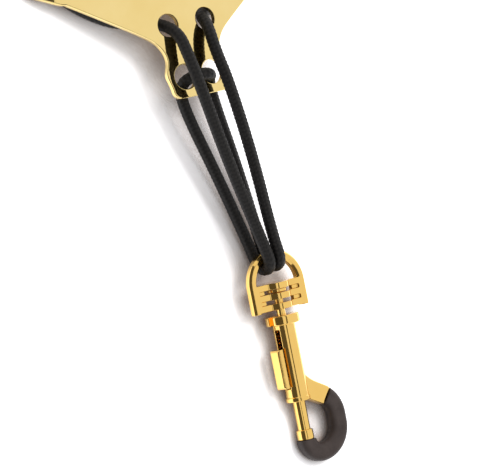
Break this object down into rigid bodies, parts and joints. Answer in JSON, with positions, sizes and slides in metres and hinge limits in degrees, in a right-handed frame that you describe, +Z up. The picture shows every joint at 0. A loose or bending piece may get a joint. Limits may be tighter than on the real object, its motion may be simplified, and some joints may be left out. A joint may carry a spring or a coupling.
{
  "type": "saxophone neck strap",
  "caption": "Saxophone neck strap: padded leather neck band, braided cord laced through a polished yoke plate, and a swivel bolt snap with a rubber-covered hook.",
  "frame": {"origin": "centre of the strap's box on the surface that it lies on, front side up", "axes": "+X across the yoke plate, +Y from the hook towards the neck band, +Z up off the surface"},
  "size_m": [0.173, 0.3959, 0.0212],
  "materials": {
    "polished_gold": "mirror-polished gold plating",
    "gold_casting": "bright gold plating on a zinc casting",
    "gold_rivet": "gold plated rivets",
    "black_cord": "black round braid",
    "black_rubber": "matte moulded rubber",
    "spring_steel": "drawn wire",
    "black_leather": "grained leather",
    "grey_foam": "closed-cell foam",
    "suede_lining": "suede"
  },
  "bodies": {
    "yoke": {"yoke_plate": "polished_gold", "left_wing_cord": "black_cord", "right_wing_cord": "black_cord", "bridge_cord": "black_cord"},
    "cord_loop": {"front_left_strand": "black_cord", "left_cord_bight": "black_cord", "back_left_strand": "black_cord", "back_right_strand": "black_cord", "right_cord_bight": "black_cord", "front_right_strand": "black_cord"},
    "eye": {"swivel_eye": "gold_casting"},
    "snap": {"snap_body": "gold_casting", "rubber_sleeve": "black_rubber", "hook_tip_cup": "gold_casting", "swivel_stud": "gold_casting", "bolt_spring": "spring_steel"},
    "bolt_and_knob": {"bolt": "gold_casting", "thumb_knob": "gold_casting"},
    "neck_band": {"band_leather": "black_leather", "band_foam": "grey_foam", "band_lining": "suede_lining", "band_rivets": "gold_rivet", "rivet_burrs": "gold_rivet", "left_cord_tail": "black_cord", "right_cord_tail": "black_cord", "left_neck_cord": "black_cord", "right_neck_cord": "black_cord"}
  },
  "joints": [
    {"name": "neck_slide", "type": "slide", "parent": "yoke", "child": "neck_band", "axis": [0, 1, 0], "range_m": [-0.024, 0.06], "deforming": ["left_neck_cord", "right_neck_cord"]},
    {"name": "lacing_slide", "type": "slide", "parent": "yoke", "child": "cord_loop", "axis": [-0.2108, 0.9726, 0.0978], "range_m": [-0.012, 0.03], "deforming": ["front_left_strand", "back_left_strand", "back_right_strand", "front_right_strand"]},
    {"name": "eye_swing", "type": "hinge", "parent": "cord_loop", "child": "eye", "pos_m": [0.0145, -0.12665, 0.00732], "axis": [1, 0, 0], "range_deg": [-60, 60], "deforming": ["left_cord_bight", "right_cord_bight"]},
    {"name": "snap_spin", "type": "hinge", "parent": "eye", "child": "snap", "pos_m": [0.0145, -0.1487, 0.0059], "axis": [0, 0.9979, 0.064], "continuous": true},
    {"name": "bolt_slide", "type": "slide", "parent": "snap", "child": "bolt_and_knob", "axis": [0, 0.9979, 0.064], "range_m": [0, 0.0075], "stiffness_N_per_m": 500, "springref_m": -0.003, "deforming": ["bolt_spring"]}
  ],
  "couplings": [
    {"joint": "lacing_slide", "follows": "neck_slide", "ratio": 0.5}
  ]
}
